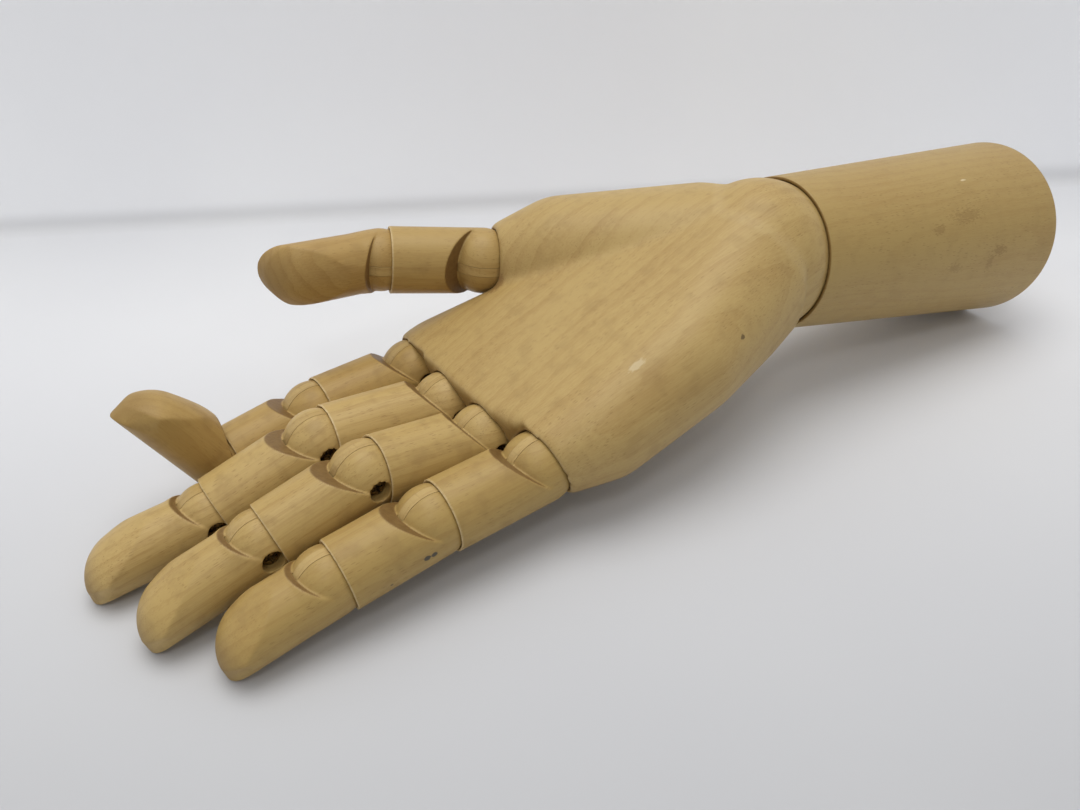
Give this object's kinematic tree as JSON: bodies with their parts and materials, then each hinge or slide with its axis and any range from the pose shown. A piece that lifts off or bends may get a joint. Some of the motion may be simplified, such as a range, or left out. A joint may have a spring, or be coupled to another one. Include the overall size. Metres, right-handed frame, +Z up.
{
  "type": "jointed wooden hand mannequin",
  "caption": "Artist's wooden hand on a turned forearm, palm up, with ball-and-tongue finger joints and a sprung ball wrist.",
  "frame": {"origin": "on the table, below the middle of the hand's box", "axes": "+X from the fingertips towards the base of the forearm, +Y towards the thumb's side, +Z up, out of the palm"},
  "size_m": [0.3196, 0.1072, 0.0718],
  "materials": {
    "hand_wood": "satin clear lacquer",
    "tongue_wood": "satin clear lacquer",
    "screw_metal": "dull, slightly oxidised",
    "wrist_metal": "plain"
  },
  "bodies": {
    "forearm": {"forearm": "hand_wood", "base_plug": "tongue_wood"},
    "wrist_swivel": {"wrist_link": "wrist_metal", "wrist_spring": "wrist_metal", "wrist_washer": "wrist_metal", "wrist_nut": "wrist_metal"},
    "palm": {"palm": "hand_wood", "wrist_pin": "wrist_metal", "wrist_pin_plug": "tongue_wood", "thumb_base_tongue": "tongue_wood", "index_knuckle_tongue": "tongue_wood", "middle_knuckle_tongue": "tongue_wood", "ring_knuckle_tongue": "tongue_wood", "little_knuckle_tongue": "tongue_wood"},
    "thumb_proximal": {"thumb_proximal": "hand_wood", "thumb_base_screw": "screw_metal", "thumb_tip_tongue": "tongue_wood"},
    "thumb_tip": {"thumb_tip": "hand_wood", "thumb_tip_screw": "screw_metal"},
    "index_proximal": {"index_proximal": "hand_wood", "index_knuckle_screw": "screw_metal", "index_middle_tongue": "tongue_wood"},
    "index_middle": {"index_middle": "hand_wood", "index_middle_screw": "screw_metal", "index_tip_tongue": "tongue_wood"},
    "index_tip": {"index_tip": "hand_wood", "index_tip_screw": "screw_metal"},
    "middle_proximal": {"middle_proximal": "hand_wood", "middle_knuckle_screw": "screw_metal", "middle_middle_tongue": "tongue_wood"},
    "middle_middle": {"middle_middle": "hand_wood", "middle_middle_screw": "screw_metal", "middle_tip_tongue": "tongue_wood"},
    "middle_tip": {"middle_tip": "hand_wood", "middle_tip_screw": "screw_metal"},
    "ring_proximal": {"ring_proximal": "hand_wood", "ring_knuckle_screw": "screw_metal", "ring_middle_tongue": "tongue_wood"},
    "ring_middle": {"ring_middle": "hand_wood", "ring_middle_screw": "screw_metal", "ring_tip_tongue": "tongue_wood"},
    "ring_tip": {"ring_tip": "hand_wood", "ring_tip_screw": "screw_metal"},
    "little_proximal": {"little_proximal": "hand_wood", "little_knuckle_screw": "screw_metal", "little_middle_tongue": "tongue_wood"},
    "little_middle": {"little_middle": "hand_wood", "little_middle_screw": "screw_metal", "little_tip_tongue": "tongue_wood"},
    "little_tip": {"little_tip": "hand_wood", "little_tip_screw": "screw_metal"}
  },
  "joints": [
    {"name": "wrist_twist", "type": "hinge", "parent": "forearm", "child": "wrist_swivel", "pos_m": [0.0453, -0.01823, 0.04827], "axis": [0.9857, 0, -0.1685], "range_deg": [-45, 45]},
    {"name": "wrist_bend", "type": "hinge", "parent": "wrist_swivel", "child": "palm", "pos_m": [0.0453, -0.01823, 0.04827], "axis": [0, 1, 0], "range_deg": [-2, 36]},
    {"name": "index_knuckle", "type": "hinge", "parent": "palm", "child": "index_proximal", "pos_m": [-0.05297, 0.02777, 0.01842], "axis": [-0.0834, 0.9962, -0.0253], "range_deg": [-41, 41]},
    {"name": "index_middle_joint", "type": "hinge", "parent": "index_proximal", "child": "index_middle", "pos_m": [-0.08703, 0.02489, 0.01732], "axis": [-0.0834, 0.9962, -0.0253], "range_deg": [-20, 71]},
    {"name": "index_tip_joint", "type": "hinge", "parent": "index_middle", "child": "index_tip", "pos_m": [-0.11587, 0.02236, 0.01282], "axis": [-0.0834, 0.9962, -0.0253], "range_deg": [-99, 0.8]},
    {"name": "middle_knuckle", "type": "hinge", "parent": "palm", "child": "middle_proximal", "pos_m": [-0.05287, 0.00447, 0.01845], "axis": [-0.0367, 0.9993, -0.0112], "range_deg": [-48, 38]},
    {"name": "middle_middle_joint", "type": "hinge", "parent": "middle_proximal", "child": "middle_middle", "pos_m": [-0.09289, 0.00304, 0.02203], "axis": [-0.0367, 0.9993, -0.0112], "range_deg": [-5.5, 85.5]},
    {"name": "middle_tip_joint", "type": "hinge", "parent": "middle_middle", "child": "middle_tip", "pos_m": [-0.12586, 0.00172, 0.01232], "axis": [-0.0367, 0.9993, -0.0112], "range_deg": [-39.2, 45.8]},
    {"name": "ring_knuckle", "type": "hinge", "parent": "palm", "child": "ring_proximal", "pos_m": [-0.05172, -0.01743, 0.0188], "axis": [-0.0701, 0.9973, -0.0213], "range_deg": [-50.3, 41.7]},
    {"name": "ring_middle_joint", "type": "hinge", "parent": "ring_proximal", "child": "ring_middle", "pos_m": [-0.08803, -0.01988, 0.02355], "axis": [-0.0701, 0.9973, -0.0213], "range_deg": [-6.5, 84.5]},
    {"name": "ring_tip_joint", "type": "hinge", "parent": "ring_middle", "child": "ring_tip", "pos_m": [-0.11805, -0.02214, 0.01657], "axis": [-0.0701, 0.9973, -0.0213], "range_deg": [-28.6, 56.4]},
    {"name": "little_knuckle", "type": "hinge", "parent": "palm", "child": "little_proximal", "pos_m": [-0.04694, -0.03893, 0.02025], "axis": [-0.0484, 0.9987, -0.0147], "range_deg": [-32, 46]},
    {"name": "little_middle_joint", "type": "hinge", "parent": "little_proximal", "child": "little_middle", "pos_m": [-0.07905, -0.04051, 0.01841], "axis": [-0.0484, 0.9987, -0.0147], "range_deg": [-22.7, 68.3]},
    {"name": "little_tip_joint", "type": "hinge", "parent": "little_middle", "child": "little_tip", "pos_m": [-0.10805, -0.04198, 0.01454], "axis": [-0.0484, 0.9987, -0.0147], "range_deg": [-25.2, 59.8]},
    {"name": "thumb_base", "type": "hinge", "parent": "palm", "child": "thumb_proximal", "pos_m": [-0.0221, 0.03417, 0.04546], "axis": [0.161, -0.0085, 0.9869], "range_deg": [-26, 35]},
    {"name": "thumb_tip_joint", "type": "hinge", "parent": "thumb_proximal", "child": "thumb_tip", "pos_m": [-0.05266, 0.044, 0.05053], "axis": [0.161, -0.0085, 0.9869], "range_deg": [-54, 34.5]}
  ]
}
